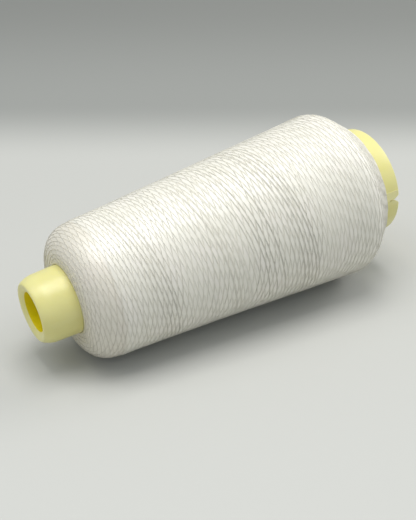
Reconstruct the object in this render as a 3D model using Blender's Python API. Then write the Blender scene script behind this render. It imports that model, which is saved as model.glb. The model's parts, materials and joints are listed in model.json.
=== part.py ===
"""Cone of sewing thread, lying on its side.

Two solids share one axis. The tube is a moulded plastic cone: a tapered shell, open right through,
with a rounded nose, a neck inside the nose and a thread-lock notch in its base rim. The thread is
wound round it as one annular solid, with a rounded shoulder at each end.

Both are modelled along their own axis, local +X from nose to base, and hang on one empty that tips
them up so that the slope of the wind lies level on the ground. Metres, +Z up.
"""

import math

import bmesh
import bpy

# ---- the tube ----------------------------------------------------------------------------------
TUBE_LENGTH = 0.145
BASE_RADIUS = 0.0210  # outside, at the base rim
NOSE_RADIUS = 0.01217  # outside, at the nose before it is rounded
COLLAR_LENGTH = 0.0136  # bare stretch at the nose, with its own slighter taper
COLLAR_RADIUS = 0.0126  # outside, where the collar meets the long cone
NOSE_ROUNDING = 0.0049  # how far back along the axis the nose rounding reaches
NOSE_FULLNESS = 1.55  # 2 is an ellipse, less is slimmer
CREST_RADIUS = 0.0103  # radius of the foremost ring of the nose
BORE_RADIUS = 0.0074
LIP_DEPTH = 0.0010  # from the foremost ring back to the edge of the bore
LIP_ROUNDING = 0.0005  # where the nose turns over into the lip
NECK_LENGTH = 0.011  # the bore keeps its radius as far back as this
FLARE_LENGTH = 0.0045  # the neck opens to the hollow over this length
WALL = 0.0016
RIM_BEVEL = 0.0004

# ---- the thread-lock notch in the base rim -------------------------------------------------------
# Distances across are measured from the middle of the slit, up round the tube.
NOTCH_ANGLE = math.radians(-86.0)  # about the axis, from straight up towards +Y
SLIT_WIDTH = 0.0006
SLIT_DEPTH = 0.0042  # from the rim to the blind end of the slit
MOUTH_DEPTH = 0.0021  # from the rim to where the mouth narrows to the slit
MOUTH_TOP = 0.0017  # the sharp upper lip at the rim
MOUTH_FOOT = -0.0011  # the lower lip, before its corner is eased
EASED_FOOT = -0.0027  # where the eased lower corner runs out into the rim
EASED_DEPTH = 0.0008
PAD_WIDTH = 0.0036  # the raised pad, from the middle of the slit to its upper edge
PAD_LENGTH = 0.0070
PAD_RISE = 0.0003
BLOCK_OVERRUN = 0.001

# ---- the wound thread ------------------------------------------------------------------------------
GAP = 0.0003  # between the thread and the tube
WIND_START = 0.0136
WIND_END = 0.1358
BODY_TAPER = math.radians(4.27)  # slope of the wound body to the axis
BODY_RADIUS_AT_NOSE = 0.02295  # the body's slope carried on to the nose end of the tube
FACE_RADIUS = 0.0160  # the nose-side end face is nearly flat out to here
FRONT_SHOULDER_LENGTH = 0.0088
RIDGE_STATION = 0.0252  # a slightly raised band where the front shoulder meets the body
RIDGE_RISE = 0.00018
RIDGE_HALF_WIDTH = 0.0012
REAR_SHOULDER_STATION = 0.1243
REAR_SHOULDER_RADIUS = 0.0080
REAR_FACE_SLOPE = 48.0  # degrees to the axis where the rear shoulder ends in the sloping face
REAR_EDGE_RADIUS = 0.0249
REAR_EDGE_ROUNDING = 0.0009
WAVE_RISE = 0.0001  # slow unevenness of the wound surface
TRUE_NEAR_TUBE = 0.004  # the unevenness dies away over this height from the tube
FLAT_DEPTH = 0.0003  # how far the resting side is pressed flat

# Soft bulges of the wind: how high, to which side, and the stations where each is full and gone.
BULGES = (
    # name, rise, angle, full at station, gone at station
    ("nose end", 0.00035, math.radians(-125.0), 0.030, 0.065),
    ("base end", 0.00030, math.radians(0.0), 0.130, 0.121),
)

# ---- how finely the round shapes are divided --------------------------------------------------------
SEGMENTS = 72
ROUNDING_STEPS = 7
BODY_STEPS = 13

TILT = BODY_TAPER  # the axis rises towards the base, so the wound slope lies level


def remove_everything():
    """Start from an empty scene."""
    for old in list(bpy.data.objects):
        bpy.data.objects.remove(old, do_unlink=True)


def make_material(name, colour, roughness):
    """Return a plain Principled material."""
    material = bpy.data.materials.new(name)
    material.use_nodes = True
    shader = material.node_tree.nodes["Principled BSDF"]
    shader.inputs["Base Color"].default_value = (*colour, 1.0)
    shader.inputs["Roughness"].default_value = roughness
    shader.inputs["Metallic"].default_value = 0.0
    return material


def elliptic_arc(centre, half_axes, start_degrees, end_degrees, steps):
    """Return points of an elliptic arc as (station, radius) pairs, both ends included."""
    points = []
    for step in range(steps + 1):
        angle = math.radians(start_degrees + (end_degrees - start_degrees) * step / steps)
        station = centre[0] + half_axes[0] * math.cos(angle)
        radius = centre[1] + half_axes[1] * math.sin(angle)
        points.append((station, radius))
    return points


# ---- radii along the axis -----------------------------------------------------------------------


def tube_outside(station):
    """Outside radius of the tube, without its nose rounding or rim bevel."""
    if station <= COLLAR_LENGTH:
        return NOSE_RADIUS + (COLLAR_RADIUS - NOSE_RADIUS) * station / COLLAR_LENGTH
    along = (station - COLLAR_LENGTH) / (TUBE_LENGTH - COLLAR_LENGTH)
    return COLLAR_RADIUS + (BASE_RADIUS - COLLAR_RADIUS) * along


def body_radius(station):
    """Radius of the straight slope of the wound body."""
    return BODY_RADIUS_AT_NOSE + station * math.tan(BODY_TAPER)


# ---- the tube ------------------------------------------------------------------------------------


def nose_rounding():
    """From the foremost ring out to the side of the collar."""
    height = tube_outside(NOSE_ROUNDING) - CREST_RADIUS
    points = []
    for step in range(ROUNDING_STEPS + 1):
        angle = math.pi / 2 * step / ROUNDING_STEPS
        forward = max(math.cos(angle), 0.0) ** (2 / NOSE_FULLNESS)
        outward = math.sin(angle) ** (2 / NOSE_FULLNESS)
        points.append((NOSE_ROUNDING * (1 - forward), CREST_RADIUS + height * outward))
    return points


def tube_outline():
    """Closed half-section of the tube, from the foremost ring out, back, in and forward again."""
    bevel_start = TUBE_LENGTH - RIM_BEVEL
    outside = [
        (COLLAR_LENGTH, COLLAR_RADIUS),
        (bevel_start, tube_outside(bevel_start)),
        (TUBE_LENGTH, BASE_RADIUS - RIM_BEVEL),
    ]
    hollow_start = NECK_LENGTH + FLARE_LENGTH
    inside = [
        (TUBE_LENGTH, BASE_RADIUS - WALL),
        (hollow_start, tube_outside(hollow_start) - WALL),
        (NECK_LENGTH, BORE_RADIUS),
    ]
    slope = LIP_DEPTH / (CREST_RADIUS - BORE_RADIUS)
    lip = [
        (LIP_DEPTH, BORE_RADIUS),
        (LIP_ROUNDING * slope / 2, CREST_RADIUS - LIP_ROUNDING),
    ]
    return nose_rounding() + outside + inside + lip


def rim_point(station, radius, across):
    """Local point at a station and radius, a distance across from the notch's middle line."""
    outward = (math.sin(NOTCH_ANGLE), math.cos(NOTCH_ANGLE))
    sideways = (outward[1], -outward[0])
    return (station, radius * outward[0] + across * sideways[0],
            radius * outward[1] + across * sideways[1])


def make_block(name, outline, inner_radii, outer_radii):
    """Stand a flat outline of (station, across) points on the wall, as a Boolean tool."""
    shape = bmesh.new()
    inner = [shape.verts.new(rim_point(station, radius, across))
             for (station, across), radius in zip(outline, inner_radii)]
    outer = [shape.verts.new(rim_point(station, radius, across))
             for (station, across), radius in zip(outline, outer_radii)]
    shape.faces.new(inner)
    shape.faces.new(outer[::-1])
    for here in range(len(outline)):
        there = (here + 1) % len(outline)
        shape.faces.new((inner[here], outer[here], outer[there], inner[there]))
    bmesh.ops.recalc_face_normals(shape, faces=shape.faces)
    mesh = bpy.data.meshes.new(name)
    shape.to_mesh(mesh)
    shape.free()
    block = bpy.data.objects.new(name, mesh)
    block.hide_render = True
    block.display_type = "WIRE"
    bpy.context.collection.objects.link(block)
    return block


def notch_block():
    """The lopsided mouth and the narrow slit behind it, right through the wall."""
    beyond = TUBE_LENGTH + BLOCK_OVERRUN
    half_slit = SLIT_WIDTH / 2
    upper_spread = (MOUTH_TOP - half_slit) / MOUTH_DEPTH
    outline = [
        (beyond, EASED_FOOT),
        (beyond, MOUTH_TOP + upper_spread * BLOCK_OVERRUN),
        (TUBE_LENGTH - MOUTH_DEPTH, half_slit),
        (TUBE_LENGTH - SLIT_DEPTH, half_slit),
        (TUBE_LENGTH - SLIT_DEPTH, -half_slit),
        (TUBE_LENGTH - MOUTH_DEPTH, -half_slit),
        (TUBE_LENGTH - EASED_DEPTH, MOUTH_FOOT),
        (TUBE_LENGTH - EASED_DEPTH / 4, (MOUTH_FOOT + EASED_FOOT) / 2),
        (TUBE_LENGTH, EASED_FOOT),
    ]
    return make_block("notch_block", outline, [BASE_RADIUS - 3 * WALL] * len(outline),
                      [BASE_RADIUS + WALL] * len(outline))


def pad_block():
    """The raised pad along the upper side of the slit, from the rim bevel forward."""
    rim_end = TUBE_LENGTH - RIM_BEVEL
    nose_end = TUBE_LENGTH - PAD_LENGTH
    outline = [(rim_end, 0.0), (rim_end, PAD_WIDTH), (nose_end, PAD_WIDTH), (nose_end, 0.0)]
    surface = [math.sqrt(tube_outside(station) ** 2 - across ** 2) for station, across in outline]
    return make_block("pad_block", outline, [height - WALL / 2 for height in surface],
                      [height + PAD_RISE for height in surface])


def make_tube(material):
    """The moulded plastic cone."""
    tube = turned_object("tube", tube_outline(), material)
    for block, operation in ((pad_block(), "UNION"), (notch_block(), "DIFFERENCE")):
        step = tube.modifiers.new(block.name, "BOOLEAN")
        step.operation = operation
        step.solver = "EXACT"
        step.object = block
        block.parent = tube
    return tube


# ---- the wound thread ------------------------------------------------------------------------------


def ridge(station):
    """Height of the slightly raised band behind the front shoulder."""
    return RIDGE_RISE * math.exp(-((station - RIDGE_STATION) / RIDGE_HALF_WIDTH) ** 2)


def front_shoulder():
    """From the flat of the nose-side face round to the start of the body."""
    end = WIND_START + FRONT_SHOULDER_LENGTH
    height = body_radius(end) - FACE_RADIUS
    return elliptic_arc((end, FACE_RADIUS), (FRONT_SHOULDER_LENGTH, height),
                        180.0, 90.0, ROUNDING_STEPS + 1)


def body():
    """The straight slope, with close rings over the raised band and wide ones after it."""
    stations = [RIDGE_STATION + step * RIDGE_HALF_WIDTH for step in (-1.0, 0.0, 1.0, 2.2)]
    first = stations[-1]
    for step in range(1, BODY_STEPS + 1):
        stations.append(first + (REAR_SHOULDER_STATION - first) * step / BODY_STEPS)
    return [(station, body_radius(station) + ridge(station)) for station in stations]


def rear_shoulder():
    """From the body round to the sloping base-side face and its edge."""
    top = body_radius(REAR_SHOULDER_STATION)
    centre = (REAR_SHOULDER_STATION, top - REAR_SHOULDER_RADIUS)
    size = (REAR_SHOULDER_RADIUS, REAR_SHOULDER_RADIUS)
    slope_end = 90.0 - REAR_FACE_SLOPE
    rounded = elliptic_arc(centre, size, 90.0 - math.degrees(BODY_TAPER), slope_end,
                           ROUNDING_STEPS - 2)
    edge_centre = (WIND_END - REAR_EDGE_ROUNDING, REAR_EDGE_RADIUS)
    edge_size = (REAR_EDGE_ROUNDING, REAR_EDGE_ROUNDING)
    return rounded[1:] + elliptic_arc(edge_centre, edge_size, slope_end, 0.0, 3)


def wind_outline():
    """Closed half-section of the wound thread."""
    inside_front = (WIND_START, tube_outside(WIND_START) + GAP)
    inside_rear = (WIND_END, tube_outside(WIND_END) + GAP)
    return [inside_front] + front_shoulder() + body() + rear_shoulder() + [inside_rear]


def fade(station, full, gone):
    """1 up to the full station and 0 from the gone station on, smoothly between, either way."""
    along = min(max((station - gone) / (full - gone), 0.0), 1.0)
    return along * along * (3.0 - 2.0 * along)


def unevenness(station, angle):
    """How far the wound surface stands off its turned shape at a station and angle."""
    bulge = sum(rise * max(math.cos(angle - towards), 0.0) * fade(station, full, gone)
                for _, rise, towards, full, gone in BULGES)
    slow_wave = math.sin(math.tau * station / 0.041 + 0.8 * math.sin(angle))
    quick_wave = math.sin(math.tau * station / 0.017 + 2.0 * angle)
    return bulge + WAVE_RISE * (0.6 * slow_wave + 0.4 * quick_wave)


def make_uneven(mesh):
    """Give the outer surface its unevenness and leave the wall beside the tube true."""
    for vertex in mesh.vertices:
        station, across, up = vertex.co
        radius = math.hypot(across, up)
        angle = math.atan2(across, up)
        clear_of_tube = radius - tube_outside(station) - GAP
        share = min(max(clear_of_tube / TRUE_NEAR_TUBE, 0.0), 1.0)
        scale = 1.0 + share * unevenness(station, angle) / radius
        vertex.co.y = across * scale
        vertex.co.z = up * scale


def press_flat(mesh, axis_height):
    """Press the resting side flat, level with the ground once the axis is tipped up."""
    for vertex in mesh.vertices:
        ground = -(axis_height + vertex.co.x * math.sin(TILT)) / math.cos(TILT)
        vertex.co.z = max(vertex.co.z, ground)


def make_wind(material, axis_height):
    """The sewing thread, wound on the tube."""
    wind = turned_object("thread_wind", wind_outline(), material)
    make_uneven(wind.data)
    press_flat(wind.data, axis_height)
    return wind


# ---- shared ----------------------------------------------------------------------------------------


def turned_object(name, outline, material):
    """Spin a closed (station, radius) outline about local X into a solid of revolution."""
    shape = bmesh.new()
    ring = [shape.verts.new((station, 0.0, radius)) for station, radius in outline]
    edges = [shape.edges.new(pair) for pair in zip(ring, ring[1:] + ring[:1])]
    bmesh.ops.spin(shape, geom=ring + edges, cent=(0.0, 0.0, 0.0), axis=(1.0, 0.0, 0.0),
                   angle=math.tau, steps=SEGMENTS, use_merge=True)
    bmesh.ops.recalc_face_normals(shape, faces=shape.faces)
    mesh = bpy.data.meshes.new(name)
    shape.to_mesh(mesh)
    shape.free()
    mesh.shade_smooth()
    mesh.set_sharp_from_angle(angle=math.radians(35.0))
    mesh.materials.append(material)
    made = bpy.data.objects.new(name, mesh)
    bpy.context.collection.objects.link(made)
    return made


def middle_of_length(pieces):
    """Middle of the pieces' extent along the ground, with the axis tipped up from the nose."""
    reach = [vertex.co.x * math.cos(TILT) - vertex.co.z * math.sin(TILT)
             for piece in pieces for vertex in piece.data.vertices]
    return (min(reach) + max(reach)) / 2


def middle_of_width(pieces):
    """Middle of the pieces' extent across the axis."""
    reach = [vertex.co.y for piece in pieces for vertex in piece.data.vertices]
    return (min(reach) + max(reach)) / 2


def main():
    """Build both pieces and lay them on the ground, centred over the origin."""
    remove_everything()
    axis_height = BODY_RADIUS_AT_NOSE * math.cos(TILT) - FLAT_DEPTH
    tube = make_tube(make_material("tube_plastic", (0.86, 0.81, 0.31), 0.42))
    wind = make_wind(make_material("thread", (0.83, 0.81, 0.72), 0.85), axis_height)
    axis = bpy.data.objects.new("cone_axis", None)
    bpy.context.collection.objects.link(axis)
    pieces = (tube, wind)
    axis.location = (-middle_of_length(pieces), -middle_of_width(pieces), axis_height)
    axis.rotation_euler = (0.0, -TILT, 0.0)
    for piece in pieces:
        piece.parent = axis


main()
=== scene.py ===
"""Looks of a cone of sewing thread that lies on its side.

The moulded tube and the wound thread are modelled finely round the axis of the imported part. Passes of
thread, laid by Geometry Nodes, cross on the wound surface, and a few stray strands lie over them.
Metres, +Z up.
"""

import json
import logging
import math
from dataclasses import dataclass, field, fields
from enum import Enum
from functools import cached_property
from typing import Callable, Sequence

import bmesh
import bpy
import numpy as np
from mathutils import Matrix, Vector, noise


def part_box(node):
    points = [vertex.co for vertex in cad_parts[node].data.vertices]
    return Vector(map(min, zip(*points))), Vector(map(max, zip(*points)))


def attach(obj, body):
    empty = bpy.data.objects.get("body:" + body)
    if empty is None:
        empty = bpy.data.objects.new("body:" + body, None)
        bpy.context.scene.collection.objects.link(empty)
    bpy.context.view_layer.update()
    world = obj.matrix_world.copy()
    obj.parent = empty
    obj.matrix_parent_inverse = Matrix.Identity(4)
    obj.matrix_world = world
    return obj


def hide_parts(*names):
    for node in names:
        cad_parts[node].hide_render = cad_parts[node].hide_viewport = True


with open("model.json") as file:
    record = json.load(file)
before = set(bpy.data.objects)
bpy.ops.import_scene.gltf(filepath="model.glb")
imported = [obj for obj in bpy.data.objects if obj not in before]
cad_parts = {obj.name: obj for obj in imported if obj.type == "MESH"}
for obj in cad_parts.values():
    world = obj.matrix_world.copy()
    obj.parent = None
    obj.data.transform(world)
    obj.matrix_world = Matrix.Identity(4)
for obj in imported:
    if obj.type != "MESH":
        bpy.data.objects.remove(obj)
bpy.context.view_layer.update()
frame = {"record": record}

log = logging.getLogger("cone_of_thread")

MM = 0.001
FIBRE_IOR = 1.64

Colour = tuple[float, float, float]
Place = tuple[float, float, float]
Outline = list[tuple[float, float]]
Inputs = dict[str, tuple[str, object]]


class Slot(Enum):
    """Material slots of the record, passed along with each piece."""

    THREAD = "thread"
    TUBE = "tube_plastic"


class Node(Enum):
    """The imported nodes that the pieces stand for."""

    THREAD = "thread_wind"
    TUBE = "tube"


class Lay(Enum):
    """Which way round a pass of thread turns as it travels from nose to base."""

    RIGHT = 1.0
    LEFT = -1.0


# ---- small helpers -------------------------------------------------------------------------------


def clamp(value: float, low: float = 0.0, high: float = 1.0) -> float:
    """Return the value, kept between low and high."""
    return min(max(value, low), high)


def ease(value: float) -> float:
    """Return the value, from 0 to 1, with a slow start and a slow end."""
    share = clamp(value)
    return share * share * (3.0 - 2.0 * share)


def arc(centre: tuple[float, float], half_axes: tuple[float, float], start: float, end: float,
        steps: int) -> Outline:
    """Work out points of an elliptic arc in a half-section.

    Args:
        centre: Station and radius of the arc's centre.
        half_axes: Half axes along the station and the radius.
        start: First angle in degrees, from the station direction.
        end: Last angle in degrees.
        steps: How many steps the arc has.

    Returns:
        The (station, radius) pairs, both ends included.
    """
    angles = [math.radians(start + (end - start) * step / steps) for step in range(steps + 1)]
    return [(centre[0] + half_axes[0] * math.cos(a), centre[1] + half_axes[1] * math.sin(a))
            for a in angles]


def divided(start: tuple[float, float], end: tuple[float, float], steps: int) -> Outline:
    """Work out the points that divide a straight line, without its first point.

    Args:
        start: Station and radius of the line's start.
        end: Station and radius of its end.
        steps: How many steps the line has.

    Returns:
        The (station, radius) pairs after the start, the end included.
    """
    return [(start[0] + (end[0] - start[0]) * step / steps,
             start[1] + (end[1] - start[1]) * step / steps) for step in range(1, steps + 1)]


class Wiring:
    """Adds nodes to a node tree and joins them."""

    def __init__(self, tree: bpy.types.NodeTree) -> None:
        """Keep the tree that the nodes go into."""
        self.tree = tree

    def node(self, kind: str, **settings: object) -> bpy.types.Node:
        """Add one node.

        Args:
            kind: Blender's name for the node's type.
            **settings: Properties to set on it.

        Returns:
            The new node.
        """
        made = self.tree.nodes.new(kind)
        for name, value in settings.items():
            setattr(made, name, value)
        return made

    def feed(self, socket: bpy.types.NodeSocket, value: object) -> None:
        """Link a socket to an output, or set its own value."""
        if isinstance(value, bpy.types.NodeSocket):
            self.tree.links.new(value, socket)
        else:
            socket.default_value = value

    def fill(self, node: bpy.types.Node, **values: object) -> bpy.types.Node:
        """Feed a node's enabled inputs by name.

        Args:
            node: The node to feed.
            **values: Input names, with _ for a space, and what each gets.

        Returns:
            The same node.
        """
        for name, value in values.items():
            wanted = name.replace("_", " ")
            socket = next(s for s in node.inputs if s.name == wanted and s.enabled)
            self.feed(socket, value)
        return node

    def maths(self, operation: str, *values: object) -> bpy.types.NodeSocket:
        """Add a Math node.

        Args:
            operation: The sum that it does.
            *values: Its inputs in order, each a number or an output.

        Returns:
            Its output.
        """
        made = self.node("ShaderNodeMath", operation=operation)
        for socket, value in zip(made.inputs, values):
            self.feed(socket, value)
        return made.outputs[0]

    def vectors(self, operation: str, *values: object, scale: object = None) -> bpy.types.NodeSocket:
        """Add a Vector Math node.

        Args:
            operation: What it does.
            *values: Its vector inputs in order.
            scale: Its scale input, where it has one.

        Returns:
            Its vector output.
        """
        made = self.node("ShaderNodeVectorMath", operation=operation)
        for socket, value in zip(made.inputs, values):
            self.feed(socket, value)
        if scale is not None:
            self.feed(made.inputs["Scale"], scale)
        return made.outputs["Vector"]

    def vector(self, x: object, y: object, z: object) -> bpy.types.NodeSocket:
        """Join three numbers into a vector and return it."""
        return self.fill(self.node("ShaderNodeCombineXYZ"), X=x, Y=y, Z=z).outputs[0]

    def remap(self, value: object, source: tuple[float, float], target: tuple[float, float],
              smooth: bool = False) -> bpy.types.NodeSocket:
        """Add a Map Range node.

        Args:
            value: What is mapped.
            source: The range that it comes from.
            target: The range that it goes to.
            smooth: Whether the change starts and ends gently.

        Returns:
            The mapped number.
        """
        kind = "SMOOTHSTEP" if smooth else "LINEAR"
        made = self.node("ShaderNodeMapRange", interpolation_type=kind)
        for socket, number in zip(made.inputs, (value, *source, *target)):
            self.feed(socket, number)
        return made.outputs[0]

    def noise(self, place: object, scale: float, detail: float = 2.0, rough: float = 0.5
              ) -> bpy.types.NodeSocket:
        """Add a Noise Texture node.

        Args:
            place: The coordinates that it reads.
            scale: How fine the noise is.
            detail: How many finer layers it has.
            rough: How strong those are.

        Returns:
            The noise, from 0 to 1.
        """
        made = self.node("ShaderNodeTexNoise", noise_dimensions="3D")
        self.fill(made, Vector=place, Scale=scale, Detail=detail, Roughness=rough)
        return made.outputs[0]

    def blend(self, share: object, first: object, second: object, kind: str = "MIX"
              ) -> bpy.types.NodeSocket:
        """Add a colour Mix node.

        Args:
            share: How much of the second colour there is.
            first: The first colour.
            second: The second colour.
            kind: How the two mix.

        Returns:
            The mixed colour.
        """
        made = self.node("ShaderNodeMix", data_type="RGBA", blend_type=kind)
        self.fill(made, Factor=share, A=first, B=second)
        return next(s for s in made.outputs if s.enabled)

    def distance_along(self, place: bpy.types.NodeSocket, direction: Vector) -> bpy.types.NodeSocket:
        """Return how far a place lies along a unit direction."""
        made = self.node("ShaderNodeVectorMath", operation="DOT_PRODUCT")
        self.feed(made.inputs[0], place)
        self.feed(made.inputs[1], tuple(direction))
        return made.outputs["Value"]

    def emboss(self, shader: bpy.types.Node, height: object, relief: float, strength: float) -> None:
        """Give a shader a bumpy surface.

        Args:
            shader: The shader node.
            height: The height of the surface, from 0 to about 1.
            relief: How far the bumps stand out, in metres.
            strength: How much of their slope shows.
        """
        bump = self.fill(self.node("ShaderNodeBump"), Strength=strength, Distance=relief,
                         Height=height)
        self.feed(shader.inputs["Normal"], bump.outputs[0])


def new_material(name: str) -> tuple[bpy.types.Material, Wiring, bpy.types.Node]:
    """Start a material with one Principled shader.

    Args:
        name: The material's name.

    Returns:
        The material, the wiring of its tree and its shader node.
    """
    material = bpy.data.materials.new(name)
    material.use_nodes = True
    return material, Wiring(material.node_tree), material.node_tree.nodes["Principled BSDF"]


def set_fibre(shader: bpy.types.Node, sheen: float) -> None:
    """Give a shader the gloss of polyester fibre and a sheen of its own."""
    shader.inputs["Sheen Weight"].default_value = sheen
    shader.inputs["Sheen Roughness"].default_value = 0.5
    shader.inputs["Specular IOR Level"].default_value = 1.0
    shader.inputs["IOR"].default_value = FIBRE_IOR


# ---- where the cone lies -------------------------------------------------------------------------


@dataclass(frozen=True)
class ConeAxis:
    """The axis that the tube and the thread share, and the frame that goes with it.

    A place round it is given by its station, which is its distance along the axis from the nose, its
    radius, and its angle from straight up towards +Y.
    """

    nose: Vector
    direction: Vector

    @classmethod
    def from_record(cls, record: dict, tube_length: float) -> "ConeAxis":
        """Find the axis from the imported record.

        Args:
            record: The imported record.
            tube_length: Length of the tube along the axis.

        Returns:
            The axis.
        """
        rim = next(m for m in record["mounts"] if m["name"] == "base_rim")
        low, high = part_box(Node.THREAD.value)
        centre = Vector((rim["pos_m"][0], (low.y + high.y) / 2, rim["pos_m"][2]))
        direction = Vector(rim["axis"]).normalized()
        return cls(centre - direction * tube_length, direction)

    @property
    def tilt(self) -> float:
        """How far the axis rises from the ground, in radians."""
        return math.atan2(self.direction.z, self.direction.x)

    @property
    def matrix(self) -> Matrix:
        """Turns the cone's own frame, +X along the axis, into the part's frame."""
        return Matrix.Translation(self.nose) @ Matrix.Rotation(-self.tilt, 4, "Y")

    def floor_under(self, station: float) -> float:
        """Return the ground's height in the cone's own frame, straight below a station."""
        return -(self.nose.z + station * math.sin(self.tilt)) / math.cos(self.tilt)


def turned_mesh(name: str, outline: Outline, segments: int,
                place: Callable[[float, float, float], Place]) -> bpy.types.Mesh:
    """Turn a closed outline about +X into one closed mesh, with a UV map that follows the surface.

    Args:
        name: The mesh's name.
        outline: Closed (station, radius) outline.
        segments: How many segments a ring has.
        place: Gives the point for a station, a radius and an angle.

    Returns:
        The mesh, in the cone's own frame, with its faces inwards where the outline runs from nose to
        base on its outer side. Its UV map holds the distance round the axis, at a radius of 1, and
        the distance along the outline in metres.
    """
    angles = [math.tau * step / segments - math.pi for step in range(segments)]
    points = [place(station, radius, angle) for station, radius in outline for angle in angles]
    rings = len(outline)
    steps = [math.dist(outline[ring], outline[(ring + 1) % rings]) for ring in range(rings)]
    along = np.concatenate([[0.0], np.cumsum(steps)])
    faces = []
    corners = []
    for ring in range(rings):
        after = (ring + 1) % rings
        for side in range(segments):
            beside = (side + 1) % segments
            faces.append((ring * segments + side, ring * segments + beside,
                          after * segments + beside, after * segments + side))
            left = math.tau * side / segments - math.pi
            right = left + math.tau / segments
            corners += [(left, along[ring]), (right, along[ring]),
                        (right, along[ring + 1]), (left, along[ring + 1])]
    mesh = bpy.data.meshes.new(name)
    mesh.from_pydata(points, [], faces)
    uv = mesh.uv_layers.new(name="turns")
    uv.data.foreach_set("uv", np.array(corners, np.float32).ravel())
    mesh.update()
    return mesh


def finished(name: str, mesh: bpy.types.Mesh, materials: Sequence[bpy.types.Material], node: Node,
             slot: Slot) -> bpy.types.Object:
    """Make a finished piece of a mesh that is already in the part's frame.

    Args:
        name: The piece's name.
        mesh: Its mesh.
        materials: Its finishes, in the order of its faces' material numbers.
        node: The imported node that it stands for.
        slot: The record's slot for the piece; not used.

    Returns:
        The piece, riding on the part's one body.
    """
    mesh.name = name
    kept = [face.material_index for face in mesh.polygons]
    mesh.materials.clear()
    for material in materials:
        mesh.materials.append(material)
    mesh.polygons.foreach_set("material_index", kept)
    piece = bpy.data.objects.new(name, mesh)
    bpy.context.scene.collection.objects.link(piece)
    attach(piece, "root")
    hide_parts(node.value)
    log.info("%s: %d faces, finish %s", name, len(mesh.polygons), materials[0].name)
    return piece


def plain_mesh(source: bpy.types.Object) -> bpy.types.Mesh:
    """Turn an object's evaluated shape into a plain mesh and remove the object.

    Args:
        source: An object whose modifiers make the shape.

    Returns:
        The mesh, with nothing live left on it.
    """
    graph = bpy.context.evaluated_depsgraph_get()
    mesh = bpy.data.meshes.new_from_object(source.evaluated_get(graph))
    bpy.data.objects.remove(source, do_unlink=True)
    return mesh


# ---- finishes ------------------------------------------------------------------------------------


@dataclass(frozen=True)
class ShoulderPaintedShade:
    """Painted shade on the nose-side shoulder, where it gets less light, ending at the raised band so
    that a crease is painted there too.
    """

    axis: ConeAxis
    tint: Colour = (0.910, 0.890, 0.865)
    dull: float = 22.4 * MM
    clear: float = 24.6 * MM

    def over(self, wiring: Wiring, place: bpy.types.NodeSocket, colour: bpy.types.NodeSocket
             ) -> bpy.types.NodeSocket:
        """Paint shade on a colour on the shoulder.

        Args:
            wiring: The material's wiring.
            place: Object coordinates.
            colour: The thread's colour.

        Returns:
            The colour, darkened by painted shade in front of the raised band.
        """
        from_nose = wiring.vectors("SUBTRACT", place, tuple(self.axis.nose))
        station = wiring.distance_along(from_nose, self.axis.direction)
        # painted shade: the thread's colour is darkened from the shoulder up to the raised band, where
        # the shoulder gets less light
        share = wiring.remap(station, (self.dull, self.clear), (1.0, 0.0), smooth=True)
        return wiring.blend(share, colour, (*self.tint, 1.0), "MULTIPLY")


@dataclass(frozen=True)
class ThreadFinish:
    """Off-white spun polyester thread: soft, faintly glossy, in fine turns that cross."""

    name: str = "sewing_thread"
    colour: Colour = (0.822, 0.794, 0.694)
    shade: Colour = (0.772, 0.745, 0.648)
    blush: Colour = (0.835, 0.790, 0.715)
    roughness: float = 0.46
    sheen: float = 0.10
    lay_slope: float = 0.16
    under_lay: float = 0.45
    radius: float = 26 * MM
    turn_scale: float = 2200.0
    streak_scale: float = 620.0
    drawn_out: float = 0.055
    broad_share: float = 1.8
    bump: float = 0.50
    relief: float = 0.034 * MM

    def streaks(self, wiring: Wiring, uv: bpy.types.NodeSocket, slope: float, scale: float,
                detail: float) -> bpy.types.NodeSocket:
        """Draw noise out along the turns of one lay.

        Args:
            wiring: The material's wiring.
            uv: The surface coordinates, angle and distance along the outline.
            slope: How far a turn travels along the outline for its way round.
            scale: How fine the turns are.
            detail: How many finer layers there are.

        Returns:
            The noise, from 0 to 1.
        """
        split = wiring.fill(wiring.node("ShaderNodeSeparateXYZ"), Vector=uv)
        round_way = wiring.maths("MULTIPLY", split.outputs[0], self.radius)
        across = wiring.maths("MULTIPLY_ADD", round_way, slope, split.outputs[1])
        drawn = wiring.maths("MULTIPLY", round_way, self.drawn_out)
        return wiring.noise(wiring.vector(drawn, across, slope), scale, detail, 0.6)

    def make(self, shoulder: ShoulderPaintedShade) -> bpy.types.Material:
        """Build the material, with painted shade on the nose-side shoulder, and return it."""
        material, wiring, shader = new_material(self.name)
        uv = wiring.node("ShaderNodeUVMap", uv_map="turns").outputs[0]
        place = wiring.node("ShaderNodeTexCoord").outputs["Object"]
        over = self.streaks(wiring, uv, self.lay_slope, self.turn_scale, 2.0)
        under = self.streaks(wiring, uv, -self.lay_slope, self.turn_scale, 2.0)
        turns = wiring.maths("MULTIPLY_ADD", under, self.under_lay, over)
        broad = self.streaks(wiring, uv, self.lay_slope, self.streak_scale, 3.0)
        tone = wiring.remap(broad, (0.34, 0.66), (0.0, 0.55))
        fine_tone = wiring.remap(turns, (0.5, 0.95), (0.0, 0.40))
        shaded = wiring.blend(wiring.maths("ADD", tone, fine_tone), (*self.colour, 1.0),
                              (*self.shade, 1.0))
        cloud = wiring.remap(wiring.noise(place, 90.0, 3.0), (0.45, 0.7), (0.0, 0.6), smooth=True)
        blushed = wiring.blend(cloud, shaded, (*self.blush, 1.0))
        wiring.feed(shader.inputs["Base Color"], shoulder.over(wiring, place, blushed))
        rough = wiring.remap(turns, (0.5, 0.95), (self.roughness - 0.06, self.roughness + 0.08))
        wiring.feed(shader.inputs["Roughness"], rough)
        set_fibre(shader, self.sheen)
        height = wiring.maths("MULTIPLY_ADD", broad, self.broad_share, turns)
        wiring.emboss(shader, height, self.relief, self.bump)
        return material


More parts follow.
